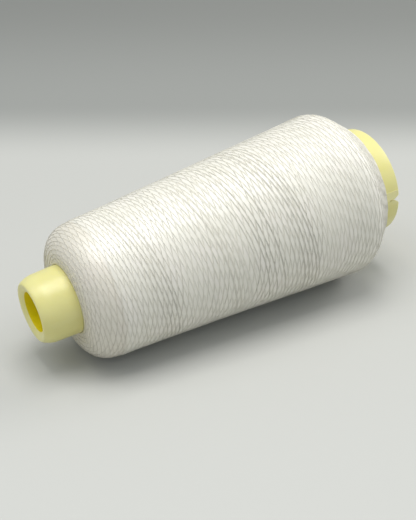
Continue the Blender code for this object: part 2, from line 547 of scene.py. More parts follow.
@dataclass(frozen=True)
class StrandFinish:
    """One thread of the same yarn, each with a tone of its own and a fine twist."""

    name: str = "single_thread"
    light: Colour = (0.836, 0.808, 0.708)
    dark: Colour = (0.786, 0.759, 0.660)
    roughness: float = 0.46
    sheen: float = 0.10
    fuzz_scale: float = 2600.0
    fuzz_relief: float = 0.02 * MM

    def make(self, shoulder: ShoulderPaintedShade) -> bpy.types.Material:
        """Build the material, with painted shade on the nose-side shoulder, and return it."""
        material, wiring, shader = new_material(self.name)
        tone = wiring.node("ShaderNodeAttribute", attribute_name="tone").outputs["Fac"]
        place = wiring.node("ShaderNodeTexCoord").outputs["Object"]
        fuzz = wiring.noise(place, self.fuzz_scale, 2.0)
        share = wiring.maths("MULTIPLY_ADD", fuzz, 0.35, wiring.maths("MULTIPLY", tone, 0.8))
        own = wiring.blend(share, (*self.dark, 1.0), (*self.light, 1.0))
        wiring.feed(shader.inputs["Base Color"], shoulder.over(wiring, place, own))
        wiring.feed(shader.inputs["Roughness"],
                    wiring.remap(fuzz, (0.3, 0.7), (self.roughness - 0.08, self.roughness + 0.1)))
        set_fibre(shader, self.sheen)
        wiring.emboss(shader, fuzz, self.fuzz_relief, 0.4)
        return material


@dataclass(frozen=True)
class TubePlasticFinish:
    """Pale yellow moulded plastic with a soft gloss, faint flow marks and painted highlights along its
    sharp edges.
    """

    name: str = "pale_yellow_plastic"
    colour: Colour = (0.768, 0.716, 0.290)
    deep: Colour = (0.738, 0.676, 0.228)
    worn: Colour = (0.815, 0.775, 0.430)
    roughness: float = 0.34
    flow_scale: float = 160.0
    flow_stretch: float = 0.25
    grain_scale: float = 1500.0
    grain_relief: float = 0.012 * MM

    def make(self, tilt: float) -> bpy.types.Material:
        """Build the material.

        Args:
            tilt: How far the axis rises, in radians, so that the flow marks run along it.

        Returns:
            The material.
        """
        material, wiring, shader = new_material(self.name)
        place = wiring.node("ShaderNodeTexCoord").outputs["Object"]
        mapping = wiring.node("ShaderNodeMapping")
        wiring.fill(mapping, Vector=place, Rotation=(0.0, tilt, 0.0),
                    Scale=(self.flow_stretch, 1.0, 1.0))
        flow = wiring.noise(mapping.outputs[0], self.flow_scale, 4.0, 0.55)
        grain = wiring.noise(place, self.grain_scale, 2.0)
        share = wiring.remap(flow, (0.35, 0.70), (0.0, 0.55), smooth=True)
        body = wiring.blend(share, (*self.colour, 1.0), (*self.deep, 1.0))
        # painted highlight: sharp convex edges are lightened towards a whiter yellow, where they would
        # catch the light
        edge = wiring.node("ShaderNodeNewGeometry").outputs["Pointiness"]
        edge_highlight_share = wiring.remap(edge, (0.505, 0.56), (0.0, 0.55), smooth=True)
        wiring.feed(shader.inputs["Base Color"], wiring.blend(edge_highlight_share, body, (*self.worn, 1.0)))
        rough = wiring.remap(flow, (0.3, 0.7), (self.roughness - 0.05, self.roughness + 0.10))
        wiring.feed(shader.inputs["Roughness"], rough)
        shader.inputs["Specular IOR Level"].default_value = 0.72
        shader.inputs["Subsurface Weight"].default_value = 0.12
        shader.inputs["Subsurface Radius"].default_value = (1.0, 0.8, 0.25)
        shader.inputs["Subsurface Scale"].default_value = 1.2 * MM
        height = wiring.maths("MULTIPLY_ADD", flow, 2.0, grain)
        wiring.emboss(shader, height, self.grain_relief, 0.25)
        return material


@dataclass(frozen=True)
class FloorFinish:
    """Plain pale studio paper with painted shade: greyer step by step behind the object, standing in for
    the light falling off there.
    """

    name: str = "studio_paper_painted_shade"
    front: Colour = (0.548, 0.549, 0.518)
    near: Colour = (0.490, 0.490, 0.460)
    far: Colour = (0.285, 0.290, 0.272)
    distant: Colour = (0.228, 0.232, 0.216)
    fall: tuple[float, float] = (-0.200, 0.110)
    change: tuple[float, float] = (0.121, 0.190)
    fade: tuple[float, float] = (0.190, 0.360)
    roughness: float = 0.85

    def make(self, facing: Vector) -> bpy.types.Material:
        """Build the material.

        Args:
            facing: Level unit vector from the camera's side to the far side.

        Returns:
            The material.
        """
        material, wiring, shader = new_material(self.name)
        place = wiring.node("ShaderNodeTexCoord").outputs["Object"]
        behind = wiring.distance_along(place, facing)
        colour = (*self.front, 1.0)
        # painted shade: each band greys the paper further behind the object, standing in for light
        # falling off there
        for band, tone in ((self.fall, self.near), (self.change, self.far), (self.fade, self.distant)):
            share = wiring.remap(behind, band, (0.0, 1.0), smooth=True)
            colour = wiring.blend(share, colour, (*tone, 1.0))
        wiring.feed(shader.inputs["Base Color"], colour)
        shader.inputs["Roughness"].default_value = self.roughness
        shader.inputs["Specular IOR Level"].default_value = 0.2
        return material


# ---- the moulded tube ----------------------------------------------------------------------------


@dataclass(frozen=True)
class MouldedTube:
    """The plastic cone that the thread is wound on, with its thread-lock notch."""

    length: float = 145 * MM
    base_radius: float = 21 * MM
    nose_radius: float = 12.17 * MM
    collar_length: float = 13.6 * MM
    collar_radius: float = 12.6 * MM
    nose_rounding: float = 4.9 * MM
    nose_fullness: float = 0.37
    crest_radius: float = 10.3 * MM
    bore_radius: float = 7.4 * MM
    lip_depth: float = 1.0 * MM
    neck_length: float = 11 * MM
    flare_length: float = 4.5 * MM
    wall: float = 1.6 * MM
    rim_rounding: float = 0.4 * MM
    segments: int = 180
    notch_angle: float = math.radians(-86.0)
    slit_width: float = 0.6 * MM
    slit_depth: float = 4.2 * MM
    mouth_depth: float = 2.1 * MM
    mouth_top: float = 1.7 * MM
    mouth_foot: float = -1.1 * MM
    eased_foot: float = -2.7 * MM
    eased_depth: float = 0.8 * MM
    pad_width: float = 3.6 * MM
    pad_length: float = 7.0 * MM
    pad_rise: float = 0.14 * MM
    overrun: float = 1.0 * MM

    def outside(self, station: float) -> float:
        """Return the outside radius at a station, without the nose rounding or the rim's."""
        if station <= self.collar_length:
            share = station / self.collar_length
            return self.nose_radius + (self.collar_radius - self.nose_radius) * share
        share = (station - self.collar_length) / (self.length - self.collar_length)
        return self.collar_radius + (self.base_radius - self.collar_radius) * share

    def nose_outline(self, steps: int = 20) -> Outline:
        """Work out the rounded nose, from the foremost ring out to the side of the collar.

        Args:
            steps: How many steps the rounding has.

        Returns:
            The (station, radius) pairs.
        """
        height = self.outside(self.nose_rounding) - self.crest_radius
        points = []
        for step in range(steps + 1):
            t = step / steps
            start, middle = (1 - t) ** 3, 3 * t * (1 - t) ** 2
            late, end = 3 * t * t * (1 - t), t ** 3
            forward = start + middle + late * self.nose_fullness
            outward = middle * self.nose_fullness + late + end
            points.append((self.nose_rounding * (1 - forward), self.crest_radius + height * outward))
        return points

    def lip_outline(self, steps: int = 9) -> Outline:
        """Work out the lip, from the bore's edge out towards the foremost ring.

        Args:
            steps: How many steps the lip has.

        Returns:
            The (station, radius) pairs after the bore's edge and before the foremost ring.
        """
        width = self.crest_radius - self.bore_radius
        shares = [step / steps for step in range(1, steps)]
        return [(self.lip_depth * (1 - share) ** 2, self.bore_radius + width * share)
                for share in shares]

    def outline(self) -> Outline:
        """Work out the closed half-section and return its (station, radius) pairs."""
        nose = self.nose_outline()
        rim_centre = (self.length - self.rim_rounding, self.base_radius - self.rim_rounding)
        rim_size = (self.rim_rounding, self.rim_rounding)
        collar = divided(nose[-1], (self.collar_length, self.collar_radius), 6)
        side = divided(collar[-1], (rim_centre[0], self.base_radius), 40)
        rim = arc(rim_centre, rim_size, 90.0, 0.0, 5)[1:]
        inner_rim = (self.length, self.base_radius - self.wall)
        hollow_start = self.neck_length + self.flare_length
        hollow = divided(inner_rim, (hollow_start, self.outside(hollow_start) - self.wall), 30)
        flare = divided(hollow[-1], (self.neck_length, self.bore_radius), 4)
        neck = divided(flare[-1], (self.lip_depth, self.bore_radius), 8)
        return nose + collar + side + rim + [inner_rim] + hollow + flare + neck + self.lip_outline()

    def wall_point(self, station: float, height: float, across: float) -> Place:
        """Return the point at a height over the axis and a distance up round from the slit."""
        outward = (math.sin(self.notch_angle), math.cos(self.notch_angle))
        return (station, height * outward[0] + across * outward[1],
                height * outward[1] - across * outward[0])

    def block(self, name: str, plan: Outline, low: Sequence[float], high: Sequence[float]
              ) -> bpy.types.Object:
        """Stand a flat plan on the wall as a solid block.

        Args:
            name: The block's name.
            plan: Its (station, across) corners.
            low: Height over the axis of its foot at each corner.
            high: Height over the axis of its top at each corner.

        Returns:
            The block, hidden from the render.
        """
        shape = bmesh.new()
        foot = [shape.verts.new(self.wall_point(s, h, a)) for (s, a), h in zip(plan, low)]
        top = [shape.verts.new(self.wall_point(s, h, a)) for (s, a), h in zip(plan, high)]
        shape.faces.new(foot)
        shape.faces.new(top[::-1])
        for here in range(len(plan)):
            there = (here + 1) % len(plan)
            shape.faces.new((foot[here], top[here], top[there], foot[there]))
        bmesh.ops.recalc_face_normals(shape, faces=shape.faces)
        mesh = bpy.data.meshes.new(name)
        shape.to_mesh(mesh)
        shape.free()
        block = bpy.data.objects.new(name, mesh)
        block.hide_render = True
        bpy.context.scene.collection.objects.link(block)
        return block

    def notch_block(self) -> bpy.types.Object:
        """Make the cutter of the lopsided mouth and the slit behind it, and return it."""
        beyond = self.length + self.overrun
        half = self.slit_width / 2
        spread = (self.mouth_top - half) / self.mouth_depth
        plan = [
            (beyond, self.eased_foot),
            (beyond, self.mouth_top + spread * self.overrun),
            (self.length - self.mouth_depth, half),
            (self.length - self.slit_depth, half),
            (self.length - self.slit_depth, -half),
            (self.length - self.mouth_depth, -half),
            (self.length - self.eased_depth, self.mouth_foot),
            (self.length - self.eased_depth / 4, (self.mouth_foot + self.eased_foot) / 2),
            (self.length, self.eased_foot),
        ]
        low = [self.base_radius - 3 * self.wall] * len(plan)
        high = [self.base_radius + self.wall] * len(plan)
        return self.block("notch_block", plan, low, high)

    def pad_block(self) -> bpy.types.Object:
        """Make the raised pad along the upper side of the slit, and return it."""
        rim_end = self.length - self.rim_rounding
        nose_end = self.length - self.pad_length
        plan = [(rim_end, 0.0), (rim_end, self.pad_width), (nose_end, self.pad_width), (nose_end, 0.0)]
        surface = [math.sqrt(self.outside(s) ** 2 - a ** 2) for s, a in plan]
        low = [height - self.wall / 2 for height in surface]
        high = [height + self.pad_rise for height in surface]
        return self.block("pad_block", plan, low, high)

    def is_inside(self, place: Vector) -> bool:
        """Return whether a place in the cone's own frame is on the bore or the hollow."""
        radius = math.hypot(place.y, place.z)
        in_neck = place.x > self.lip_depth and radius < self.bore_radius + self.wall / 2
        in_hollow = place.x > self.neck_length and radius < self.outside(place.x) - 0.8 * self.wall
        return in_neck or in_hollow

    def build(self, axis: ConeAxis, finish: TubePlasticFinish, inside_finish: TubePlasticFinish
              ) -> bpy.types.Object:
        """Model the tube and dress it.

        Args:
            axis: Where the cone lies.
            finish: Its plastic.
            inside_finish: The same plastic in the bore and the hollow, with painted bounced light:
            a richer, more saturated yellow for light that bounces round inside.

        Returns:
            The finished piece.
        """
        def place(station: float, radius: float, angle: float) -> Place:
            """Return the point of the turned shape."""
            return (station, radius * math.sin(angle), radius * math.cos(angle))

        mesh = turned_mesh("tube_turned", self.outline(), self.segments, place)
        tube = bpy.data.objects.new("tube_turned", mesh)
        bpy.context.scene.collection.objects.link(tube)
        blocks = ((self.pad_block(), "UNION"), (self.notch_block(), "DIFFERENCE"))
        for block, operation in blocks:
            step = tube.modifiers.new(block.name, "BOOLEAN")
            step.operation = operation
            step.solver = "EXACT"
            step.object = block
        mesh = plain_mesh(tube)
        for block, _ in blocks:
            bpy.data.objects.remove(block, do_unlink=True)
        # the bore and the hollow take the second finish, with painted bounced light
        inner = [int(self.is_inside(face.center)) for face in mesh.polygons]
        mesh.polygons.foreach_set("material_index", inner)
        mesh.transform(axis.matrix)
        mesh.shade_smooth()
        mesh.set_sharp_from_angle(angle=math.radians(32.0))
        materials = [finish.make(axis.tilt), inside_finish.make(axis.tilt)]
        return finished("moulded_tube", mesh, materials, Node.TUBE, Slot.TUBE)


# ---- the wound thread ----------------------------------------------------------------------------


@dataclass(frozen=True)
class Bulge:
    """A soft bulge of the wound surface."""

    rise: float
    towards: float
    full: float
    gone: float

    def height(self, station: float, angle: float) -> float:
        """Return how high the bulge stands at a station and angle."""
        along = ease((station - self.gone) / (self.full - self.gone))
        return self.rise * max(math.cos(angle - self.towards), 0.0) * along


@dataclass(frozen=True)
class WoundThread:
    """The body of sewing thread, with its shoulders, its raised band and its unevenness."""

    tube: MouldedTube
    gap: float = 0.12 * MM
    start: float = 13.6 * MM
    end: float = 135.8 * MM
    taper: float = math.radians(4.27)
    radius_at_nose: float = 22.95 * MM
    face_radius: float = 16.0 * MM
    front_shoulder: float = 9.4 * MM
    ridge_station: float = 24.6 * MM
    ridge_rise: float = 0.36 * MM
    ridge_front: float = 1.1 * MM
    ridge_back: float = 5.0 * MM
    rear_shoulder_station: float = 124.3 * MM
    rear_shoulder_radius: float = 8.0 * MM
    rear_face_slope: float = 48.0
    rear_edge_radius: float = 24.9 * MM
    rear_edge_rounding: float = 0.5 * MM
    wave_rise: float = 0.05 * MM
    slow_wave: float = 41 * MM
    quick_wave: float = 17 * MM
    ripple_rise: float = 0.008 * MM
    ripple_scale: float = 260.0
    true_near_tube: float = 4.0 * MM
    segments: int = 96
    bulges: tuple[Bulge, ...] = (
        Bulge(0.35 * MM, math.radians(-125.0), 30 * MM, 65 * MM),
        Bulge(0.30 * MM, 0.0, 130 * MM, 121 * MM),
    )

    def body_radius(self, station: float) -> float:
        """Return the radius of the straight slope."""
        return self.radius_at_nose + station * math.tan(self.taper)

    def ridge(self, station: float) -> float:
        """Return the height of the raised band behind the front shoulder."""
        past = station - self.ridge_station
        width = self.ridge_back if past > 0 else self.ridge_front
        return self.ridge_rise * math.exp(-abs(past) / width)

    def outline(self) -> Outline:
        """Work out the closed half-section and return its (station, radius) pairs."""
        inside_front = (self.start, self.tube.outside(self.start) + self.gap)
        shoulder_end = self.start + self.front_shoulder
        shoulder_height = self.body_radius(shoulder_end) - self.face_radius
        face = divided(inside_front, (self.start, self.face_radius), 5)
        front = arc((shoulder_end, self.face_radius), (self.front_shoulder, shoulder_height),
                    180.0, 90.0, 22)[1:]
        stations = np.linspace(shoulder_end, self.rear_shoulder_station, 142)[1:]
        body = [(float(s), self.body_radius(s) + self.ridge(s)) for s in stations]
        top = self.body_radius(self.rear_shoulder_station)
        rear = arc((self.rear_shoulder_station, top - self.rear_shoulder_radius),
                   (self.rear_shoulder_radius, self.rear_shoulder_radius),
                   90.0 - math.degrees(self.taper), 90.0 - self.rear_face_slope, 12)[1:]
        edge = arc((self.end - self.rear_edge_rounding, self.rear_edge_radius),
                   (self.rear_edge_rounding, self.rear_edge_rounding),
                   90.0 - self.rear_face_slope, 0.0, 5)
        slope = divided(rear[-1], edge[0], 6)
        inside_rear = (self.end, self.tube.outside(self.end) + self.gap)
        rear_face = divided(edge[-1], inside_rear, 7)
        inside = divided(inside_rear, inside_front, 24)[:-1]
        return [inside_front] + face + front + body + rear + slope + edge[1:] + rear_face + inside

    def unevenness(self, station: float, angle: float) -> float:
        """Work out how far the surface stands off its turned shape.

        Args:
            station: Distance along the axis.
            angle: Angle round it.

        Returns:
            The height in metres.
        """
        bulges = sum(bulge.height(station, angle) for bulge in self.bulges)
        slow = math.sin(math.tau * station / self.slow_wave + 0.8 * math.sin(angle))
        quick = math.sin(math.tau * station / self.quick_wave + 2.0 * angle)
        spot = Vector((station * self.ripple_scale, 0.7 * math.sin(angle), 0.7 * math.cos(angle)))
        ripple = noise.fractal(spot, 0.8, 2.0, 3)
        return bulges + self.wave_rise * (0.6 * slow + 0.4 * quick) + self.ripple_rise * ripple

    def mesh(self, axis: ConeAxis) -> bpy.types.Mesh:
        """Model the wound body in the part's frame.

        Args:
            axis: Where the cone lies.

        Returns:
            The mesh, pressed flat where it rests, with its faces outwards.
        """
        def place(station: float, radius: float, angle: float) -> Place:
            """Return the point of the uneven shape."""
            clear = radius - self.tube.outside(station) - self.gap
            share = clamp(clear / self.true_near_tube)
            grown = radius + share * self.unevenness(station, angle)
            height = max(grown * math.cos(angle), axis.floor_under(station))
            return (station, grown * math.sin(angle), height)

        mesh = turned_mesh("wound_thread", self.outline(), self.segments, place)
        mesh.transform(axis.matrix)
        mesh.flip_normals()
        mesh.shade_smooth()
        return mesh

    def build(self, axis: ConeAxis, finish: bpy.types.Material) -> bpy.types.Object:
        """Model the wound body and dress it.

        Args:
            axis: Where the cone lies.
            finish: Its thread's material.

        Returns:
            The finished piece.
        """
        return finished("wound_thread", self.mesh(axis), [finish], Node.THREAD, Slot.THREAD)


# ---- passes of thread on the surface -------------------------------------------------------------


@dataclass
class LaidThread:
    """A Geometry Nodes tree that lays threads on the wound surface, along rules of its own."""

    name: str
    inputs: Inputs = field(default_factory=dict)

    @cached_property
    def tree(self) -> bpy.types.NodeTree:
        """The tree, with its named inputs and its output."""
        tree = bpy.data.node_groups.new(self.name, "GeometryNodeTree")
        tree.interface.new_socket("Surface", in_out="INPUT", socket_type="NodeSocketGeometry")
        for name, (kind, _) in self.inputs.items():
            tree.interface.new_socket(name, in_out="INPUT", socket_type=kind)
        tree.interface.new_socket("Threads", in_out="OUTPUT", socket_type="NodeSocketGeometry")
        return tree

    @cached_property
    def wiring(self) -> Wiring:
        """The wiring of the tree."""
        return Wiring(self.tree)

    @cached_property
    def given(self) -> bpy.types.Node:
        """The node that gives the tree's inputs."""
        return self.wiring.node("NodeGroupInput")

    def value(self, name: str) -> bpy.types.NodeSocket:
        """Return the output that gives a named input."""
        return self.given.outputs[name]

    def chance(self, low: object, high: object, which: object, seed: int) -> bpy.types.NodeSocket:
        """Draw a random number for each thread.

        Args:
            low: The least that it may be.
            high: The most that it may be.
            which: The thread's number.
            seed: Added to the tree's own seed.

        Returns:
            The number.
        """
        wiring = self.wiring
        made = wiring.node("FunctionNodeRandomValue", data_type="FLOAT")
        seeds = wiring.maths("ADD", self.value("Seed"), float(seed))
        wiring.fill(made, Min=low, Max=high, ID=which, Seed=seeds)
        return next(s for s in made.outputs if s.enabled)

    def in_part(self, place: bpy.types.NodeSocket) -> bpy.types.NodeSocket:
        """Turn a vector of the cone's own frame into the part's frame, without its shift."""
        made = self.wiring.node("ShaderNodeVectorRotate", rotation_type="Y_AXIS")
        back = self.wiring.maths("MULTIPLY", self.value("Tilt"), -1.0)
        return self.wiring.fill(made, Vector=place, Angle=back).outputs[0]

    def on_surface(self, aim: object, lean: object, angle: object, lift: object
                   ) -> bpy.types.NodeSocket:
        """Find the place on the wound surface that a line out from the axis meets.

        Args:
            aim: Station on the axis that the line starts from.
            lean: How far the line leans towards the base, in radians, or the nose where negative.
            angle: Angle of the line round the axis.
            lift: How far the thread's middle stands over the surface.

        Returns:
            The place, never so low that a thread would be under the ground.
        """
        wiring = self.wiring
        outward = wiring.maths("COSINE", lean)
        line = self.in_part(wiring.vector(
            wiring.maths("SINE", lean),
            wiring.maths("MULTIPLY", wiring.maths("SINE", angle), outward),
            wiring.maths("MULTIPLY", wiring.maths("COSINE", angle), outward)))
        reach = self.value("Reach")
        foot = wiring.vectors("ADD", self.in_part(wiring.vector(aim, 0.0, 0.0)), self.value("Nose"))
        source = wiring.vectors("ADD", foot, wiring.vectors("SCALE", line, scale=reach))
        ray = wiring.node("GeometryNodeRaycast")
        wiring.fill(ray, Target_Geometry=self.value("Surface"), Source_Position=source,
                    Ray_Direction=wiring.vectors("SCALE", line, scale=-1.0), Ray_Length=reach)
        raised = wiring.vectors("SCALE", ray.outputs["Hit Normal"], scale=lift)
        place = wiring.vectors("ADD", ray.outputs["Hit Position"], raised)
        split = wiring.fill(wiring.node("ShaderNodeSeparateXYZ"), Vector=place)
        height = wiring.maths("MAXIMUM", split.outputs[2], self.value("Thread radius"))
        return wiring.vector(split.outputs[0], split.outputs[1], height)

    def thread_and_step(self, steps: object) -> tuple[bpy.types.NodeSocket, bpy.types.NodeSocket]:
        """Tell a point which thread it is on and which step of it.

        Args:
            steps: How many points a thread has.

        Returns:
            The thread's number and the step's number.
        """
        wiring = self.wiring
        index = wiring.node("GeometryNodeInputIndex").outputs[0]
        shifted = wiring.maths("DIVIDE", wiring.maths("ADD", index, 0.5), steps)
        which = wiring.maths("FLOOR", shifted)
        return which, wiring.maths("SUBTRACT", index, wiring.maths("MULTIPLY", which, steps))

    def string(self, count: object, place: object, steps: object, sides: int = 3) -> None:
        """String the points into threads with a finish, and end the tree.

        Args:
            count: How many points there are in all.
            place: Where each point is.
            steps: How many points a thread has.
            sides: How many sides the section has.
        """
        wiring = self.wiring
        which, step = self.thread_and_step(steps)
        points = wiring.fill(wiring.node("GeometryNodePoints"), Count=count, Position=place)
        curves = wiring.fill(wiring.node("GeometryNodePointsToCurves"), Points=points.outputs[0],
                             Curve_Group_ID=which, Weight=step)
        kept = wiring.node("GeometryNodeStoreNamedAttribute", data_type="FLOAT", domain="POINT")
        wiring.fill(kept, Geometry=curves.outputs[0], Name="tone", Value=self.chance(0.0, 1.0, which, 3))
        section = wiring.node("GeometryNodeCurvePrimitiveCircle", mode="RADIUS")
        wiring.fill(section, Resolution=sides, Radius=self.value("Thread radius"))
        solid = wiring.node("GeometryNodeCurveToMesh")
        wiring.fill(solid, Curve=kept.outputs[0], Profile_Curve=section.outputs[0], Fill_Caps=True)
        smooth = wiring.fill(wiring.node("GeometryNodeSetShadeSmooth"), Geometry=solid.outputs[0])
        real = wiring.fill(wiring.node("GeometryNodeRealizeInstances"), Geometry=smooth.outputs[0])
        dressed = wiring.fill(wiring.node("GeometryNodeSetMaterial"), Geometry=real.outputs[0],
                              Material=self.value("Finish"))
        result = wiring.node("NodeGroupOutput")
        wiring.feed(result.inputs[0], dressed.outputs[0])

    def lay(self, surface: bpy.types.Mesh) -> bpy.types.Mesh:
        """Run the tree over a surface.

        Args:
            surface: The wound body's mesh.

        Returns:
            A plain mesh of the threads alone.
        """
        carrier = bpy.data.objects.new(self.name, surface.copy())
        bpy.context.scene.collection.objects.link(carrier)
        step = carrier.modifiers.new(self.name, "NODES")
        step.node_group = self.tree
        for item in self.tree.interface.items_tree:
            if item.in_out == "INPUT" and item.name in self.inputs:
                step[item.identifier] = self.inputs[item.name][1]
        return plain_mesh(carrier)


def named_inputs(sizes: object, axis: ConeAxis, finish: bpy.types.Material) -> Inputs:
    """Name the inputs of a thread-laying tree: one for each number, the axis and the finish.

    Args:
        sizes: The dataclass whose whole and decimal numbers become inputs.
        axis: Where the cone lies.
        finish: The threads' material.

    Returns:
        The socket type and value of each input, by name.
    """
    kinds = {int: "NodeSocketInt", float: "NodeSocketFloat"}
    inputs = {
        "Nose": ("NodeSocketVector", tuple(axis.nose)),
        "Tilt": ("NodeSocketFloat", axis.tilt),
        "Finish": ("NodeSocketMaterial", finish),
    }
    for item in fields(sizes):
        value = getattr(sizes, item.name)
        if type(value) in kinds:
            inputs[item.name.replace("_", " ").capitalize()] = (kinds[type(value)], value)
    return inputs


@dataclass(frozen=True)
class ThreadPasses:
    """Long passes that travel from the nose end to the base end in several turns.

    A pass climbs the nose-side shoulder, crosses the body and runs down the base-side shoulder. The
    lines that place it lean over at both shoulders, out from the first and the last station. Passes
    lie side by side in bands that travel, sway and hop together. Each step of a pass goes from one
    corner of the wound body's rings to the next, so that the thread keeps its height between them.
    """

    name: str
    lay: Lay
    seed: int
    bands: int
    middle_height: float
    threads_in_band: int = 2
    pitch: float = 0.16 * MM
    band_jitter: float = 0.30 * MM
    steps_in_pass: int = 481
    turns: float = 5.0
    thread_radius: float = 0.085 * MM
    hop: float = 0.03 * MM
    wander: float = 0.5 * MM
    sways_in_pass: float = 15.0
    hops_in_pass: float = 26.0
    first_station: float = 30.0 * MM
    last_station: float = 118.0 * MM
    nose_travel: float = 21.0 * MM
    base_travel: float = 20.0 * MM
    nose_lean: float = math.radians(50.5)
    base_lean: float = math.radians(40.0)
    end_slowness: float = 0.2
    segments: int = WoundThread.segments
    reach: float = 60 * MM

    def travel(self, laid: LaidThread, along: object, which: object, band: object
               ) -> bpy.types.NodeSocket:
        """Work out how far a pass has travelled over the surface.

        Args:
            laid: The tree.
            along: Share of the pass, from 0 to 1.
            which: The pass's number.
            band: The number of its band.

        Returns:
            The distance from the pass's nose end, slower at both ends and swaying between them.
        """
        wiring = laid.wiring
        beside = wiring.maths("SUBTRACT", which,
                              wiring.maths("MULTIPLY", band, laid.value("Threads in band")))
        jitter = wiring.maths("MULTIPLY", laid.value("Band jitter"), laid.chance(-1.0, 1.0, band, 1))
        shift = wiring.maths("MULTIPLY_ADD", beside, laid.value("Pitch"), jitter)
        slowed = wiring.remap(along, (0.0, 1.0), (0.0, 1.0), smooth=True)
        bent = wiring.maths("MULTIPLY", wiring.maths("SUBTRACT", slowed, along),
                            laid.value("End slowness"))
        length = wiring.maths("SUBTRACT", laid.value("Last station"), laid.value("First station"))
        ends = wiring.maths("ADD", laid.value("Nose travel"), laid.value("Base travel"))
        line = wiring.maths("MULTIPLY", wiring.maths("ADD", along, bent),
                            wiring.maths("ADD", length, ends))
        spot = wiring.vector(wiring.maths("MULTIPLY", along, laid.value("Sways in pass")), band,
                             laid.value("Seed"))
        sway = wiring.maths("SUBTRACT", wiring.noise(spot, 1.0, 1.0), 0.5)
        between = wiring.maths("MULTIPLY", wiring.maths("MULTIPLY", along, 4.0),
                               wiring.maths("SUBTRACT", 1.0, along))
        room = wiring.maths("MULTIPLY", between, laid.value("Wander"))
        swayed = wiring.maths("MULTIPLY_ADD", sway, room, line)
        return wiring.maths("MULTIPLY_ADD", between, shift, swayed)

    def aim_and_lean(self, laid: LaidThread, travel: object
                     ) -> tuple[bpy.types.NodeSocket, bpy.types.NodeSocket]:
        """Turn the distance travelled into the line that places a point.

        Args:
            laid: The tree.
            travel: Distance from the pass's nose end.

        Returns:
            The station that the line starts from and how far it leans towards the base.
        """
        wiring = laid.wiring
        past_nose = wiring.maths("SUBTRACT", travel, laid.value("Nose travel"))
        station = wiring.maths("ADD", past_nose, laid.value("First station"))
        low = wiring.maths("MAXIMUM", station, laid.value("First station"))
        aim = wiring.maths("MINIMUM", low, laid.value("Last station"))
        before = wiring.maths("MAXIMUM", wiring.maths("MULTIPLY", past_nose, -1.0), 0.0)
        after = wiring.maths("MAXIMUM", wiring.maths("SUBTRACT", station,
                                                     laid.value("Last station")), 0.0)
        nose_share = wiring.maths("DIVIDE", before, laid.value("Nose travel"))
        base_share = wiring.maths("DIVIDE", after, laid.value("Base travel"))
        nose_part = wiring.maths("MULTIPLY", nose_share, laid.value("Nose lean"))
        base_part = wiring.maths("MULTIPLY", base_share, laid.value("Base lean"))
        return aim, wiring.maths("SUBTRACT", base_part, nose_part)

    def lift(self, laid: LaidThread, along: object, which: object, band: object
             ) -> bpy.types.NodeSocket:
        """Work out how far the middle of a pass stands over the surface.

        Args:
            laid: The tree.
            along: Share of the pass, from 0 to 1.
            which: The pass's number.
            band: The number of its band.

        Returns:
            The height, which rises now and then so that the band goes over its neighbours.
        """
        wiring = laid.wiring
        spot = wiring.vector(wiring.maths("MULTIPLY", along, laid.value("Hops in pass")), band,
                             wiring.maths("ADD", laid.value("Seed"), 5.0))
        hopping = wiring.maths("SUBTRACT", 0.55, wiring.noise(spot, 1.0, 2.0))
        own = wiring.maths("MULTIPLY", laid.chance(-0.5, 0.5, which, 2), -1.0)
        level = wiring.maths("MULTIPLY_ADD", hopping, 4.0, own)
        risen = wiring.maths("MAXIMUM", wiring.maths("MULTIPLY", level, laid.value("Hop")), 0.0)
        return wiring.maths("ADD", laid.value("Middle height"), risen)

    def threads(self, axis: ConeAxis, finish: bpy.types.Material) -> LaidThread:
        """Build the tree that lays the passes.

        Args:
            axis: Where the cone lies.
            finish: The threads' material.

        Returns:
            The tree, ready to run.
        """
        laid = LaidThread(self.name, named_inputs(self, axis, finish))
        wiring = laid.wiring
        steps = laid.value("Steps in pass")
        which, step = laid.thread_and_step(steps)
        along = wiring.maths("DIVIDE", step, wiring.maths("SUBTRACT", steps, 1.0))
        shifted = wiring.maths("DIVIDE", wiring.maths("ADD", which, 0.5),
                               laid.value("Threads in band"))
        band = wiring.maths("FLOOR", shifted)
        aim, lean = self.aim_and_lean(laid, self.travel(laid, along, which, band))
        spacing = wiring.maths("DIVIDE", laid.value("Segments"), laid.value("Bands"))
        corner = wiring.maths("FLOOR", wiring.maths("MULTIPLY", band, spacing))
        begun = wiring.maths("DIVIDE", corner, laid.value("Segments"))
        turns = wiring.maths("MULTIPLY", laid.value("Turns"), self.lay.value)
        turned = wiring.maths("MULTIPLY_ADD", along, turns, begun)
        angle = wiring.maths("MULTIPLY", turned, math.tau)
        place = laid.on_surface(aim, lean, angle, self.lift(laid, along, which, band))
        threads = wiring.maths("MULTIPLY", laid.value("Bands"), laid.value("Threads in band"))
        laid.string(wiring.maths("MULTIPLY", threads, steps), place, steps)
        return laid

    def build(self, axis: ConeAxis, surface: bpy.types.Mesh, finish: bpy.types.Material
              ) -> bpy.types.Object:
        """Lay the passes and dress them.

        Args:
            axis: Where the cone lies.
            surface: The wound body's mesh.
            finish: The threads' material.

        Returns:
            The finished piece.
        """
        mesh = self.threads(axis, finish).lay(surface)
        return finished(self.name, mesh, [finish], Node.THREAD, Slot.THREAD)


